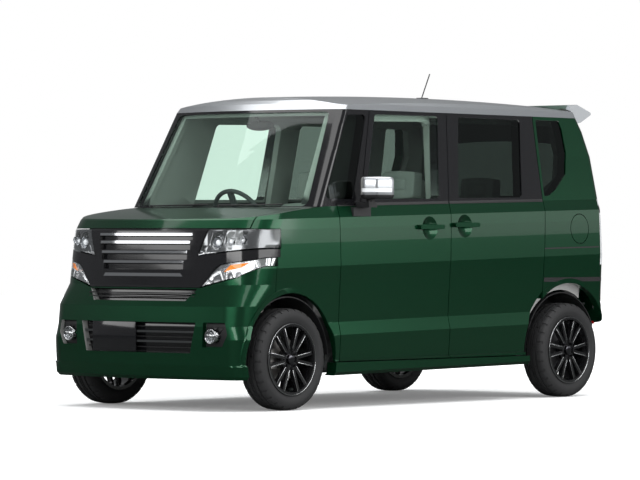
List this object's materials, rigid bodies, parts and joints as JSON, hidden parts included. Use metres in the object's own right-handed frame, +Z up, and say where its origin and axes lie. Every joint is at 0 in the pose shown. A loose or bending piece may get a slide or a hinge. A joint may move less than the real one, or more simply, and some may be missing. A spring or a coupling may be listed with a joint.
{
  "type": "kei car",
  "caption": "Tall box-shaped small car with hinged front doors, sliding rear doors, a top-hinged tailgate, steered front wheels and a furnished hollow cabin.",
  "frame": {"origin": "on the ground under the middle of the whole car's box", "axes": "+Z up, the nose towards -Y, the car's own left side at +X"},
  "size_m": [1.7954, 3.3967, 1.9365],
  "materials": {
    "paint_green": "gloss",
    "paint_silver": "gloss",
    "black_trim": "satin",
    "black_gloss": "gloss",
    "grille_black": "gloss",
    "lamp": "clear",
    "glass_clear": "clear",
    "glass_dark": "dark",
    "tyre": "matte",
    "rim": "gloss",
    "steel": "raw",
    "bare_aluminium": "raw",
    "interior": "grained",
    "seat_cloth": "woven",
    "rubber": "matte"
  },
  "bodies": {
    "car": {"antenna": "rubber", "body_frame": "paint_green", "cowl": "black_trim", "dashboard": "interior", "engine_block": "bare_aluminium", "exhaust": "steel", "fixed_side_glass": "glass_dark", "floor_pan": "paint_green", "front_bumper": "paint_green", "front_fenders": "paint_green", "front_lamps": "lamp", "front_seats": "seat_cloth", "front_subframe": "steel", "fuel_tank": "black_trim", "grille": "grille_black", "quarter_panels": "paint_green", "rear_axle": "steel", "rear_bumper": "paint_green", "rear_seats": "seat_cloth", "roof": "paint_silver", "side_skirts": "paint_green", "sliding_door_glass": "glass_dark", "sliding_doors": "paint_green", "steering_column": "interior", "tail_lamps": "lamp", "wheel_liners": "black_trim", "windscreen": "glass_clear", "windscreen_frame": "black_gloss", "wipers": "black_trim"},
    "hood": {"hood": "paint_green"},
    "front_door_left": {"front_door_left": "paint_green", "front_door_glass_left": "glass_clear", "mirror_base_left": "black_trim"},
    "front_door_right": {"front_door_right": "paint_green", "front_door_glass_right": "glass_clear", "mirror_base_right": "black_trim"},
    "mirror_left": {"mirror_left": "paint_silver"},
    "mirror_right": {"mirror_right": "paint_silver"},
    "tailgate": {"tailgate": "paint_green", "tailgate_glass": "glass_dark", "rear_spoiler": "paint_silver"},
    "fuel_lid": {"fuel_lid": "paint_green"},
    "steering_wheel": {"steering_wheel": "interior"},
    "knuckle_left": {"front_knuckle_left": "steel"},
    "knuckle_right": {"front_knuckle_right": "steel"},
    "steering_rack": {"steering_rack": "steel"},
    "wheel_front_left": {"tyre_front_left": "tyre", "rim_front_left": "rim"},
    "wheel_front_right": {"tyre_front_right": "tyre", "rim_front_right": "rim"},
    "wheel_rear_left": {"tyre_rear_left": "tyre", "rim_rear_left": "rim"},
    "wheel_rear_right": {"tyre_rear_right": "tyre", "rim_rear_right": "rim"}
  },
  "joints": [
    {"name": "hood_open", "type": "hinge", "parent": "car", "child": "hood", "pos_m": [0, -1.006, 1.1215], "axis": [-1, 0, 0], "range_deg": [0, 50]},
    {"name": "front_door_left_open", "type": "hinge", "parent": "car", "child": "front_door_left", "pos_m": [0.7375, -0.804, 0.85], "axis": [0.0549, 0, -0.9985], "range_deg": [0, 68]},
    {"name": "front_door_right_open", "type": "hinge", "parent": "car", "child": "front_door_right", "pos_m": [-0.7375, -0.804, 0.85], "axis": [0.0549, 0, 0.9985], "range_deg": [0, 68]},
    {"name": "mirror_left_fold", "type": "hinge", "parent": "front_door_left", "child": "mirror_left", "pos_m": [0.778, -0.6, 1.168], "axis": [0, 0, 1], "range_deg": [0, 62]},
    {"name": "mirror_right_fold", "type": "hinge", "parent": "front_door_right", "child": "mirror_right", "pos_m": [-0.778, -0.6, 1.168], "axis": [0, 0, -1], "range_deg": [0, 62]},
    {"name": "tailgate_open", "type": "hinge", "parent": "car", "child": "tailgate", "pos_m": [0, 1.44, 1.7665], "axis": [1, 0, 0], "range_deg": [0, 80]},
    {"name": "fuel_lid_open", "type": "hinge", "parent": "car", "child": "fuel_lid", "pos_m": [0.7345, 1.3225, 1.006], "axis": [0, 0, -1], "range_deg": [0, 85]},
    {"name": "steer_left", "type": "hinge", "parent": "car", "child": "knuckle_left", "pos_m": [0.57411, -1.2075, 0.281], "axis": [-0.2079, 0, 0.9781], "range_deg": [-35, 35]},
    {"name": "steer_right", "type": "hinge", "parent": "car", "child": "knuckle_right", "pos_m": [-0.57411, -1.2075, 0.281], "axis": [0.2079, 0, 0.9781], "range_deg": [-35, 35]},
    {"name": "steering_wheel_turn", "type": "hinge", "parent": "car", "child": "steering_wheel", "pos_m": [-0.35, -0.44, 1.064], "axis": [0, 0.8829, 0.4695], "range_deg": [-525, 525]},
    {"name": "rack_slide", "type": "slide", "parent": "car", "child": "steering_rack", "axis": [-1, 0, 0], "range_m": [-0.067, 0.067]},
    {"name": "wheel_front_left_spin", "type": "hinge", "parent": "knuckle_left", "child": "wheel_front_left", "pos_m": [0.6525, -1.2075, 0.281], "axis": [1, 0, 0], "continuous": true},
    {"name": "wheel_front_right_spin", "type": "hinge", "parent": "knuckle_right", "child": "wheel_front_right", "pos_m": [-0.6525, -1.2075, 0.281], "axis": [1, 0, 0], "continuous": true},
    {"name": "wheel_rear_left_spin", "type": "hinge", "parent": "car", "child": "wheel_rear_left", "pos_m": [0.6525, 1.3125, 0.281], "axis": [1, 0, 0], "continuous": true},
    {"name": "wheel_rear_right_spin", "type": "hinge", "parent": "car", "child": "wheel_rear_right", "pos_m": [-0.6525, 1.3125, 0.281], "axis": [1, 0, 0], "continuous": true}
  ],
  "couplings": [
    {"joint": "steer_right", "follows": "steer_left", "ratio": 1},
    {"joint": "steering_wheel_turn", "follows": "steer_left", "ratio": 15},
    {"joint": "rack_slide", "follows": "steer_left", "m_per_rad": 0.108}
  ]
}
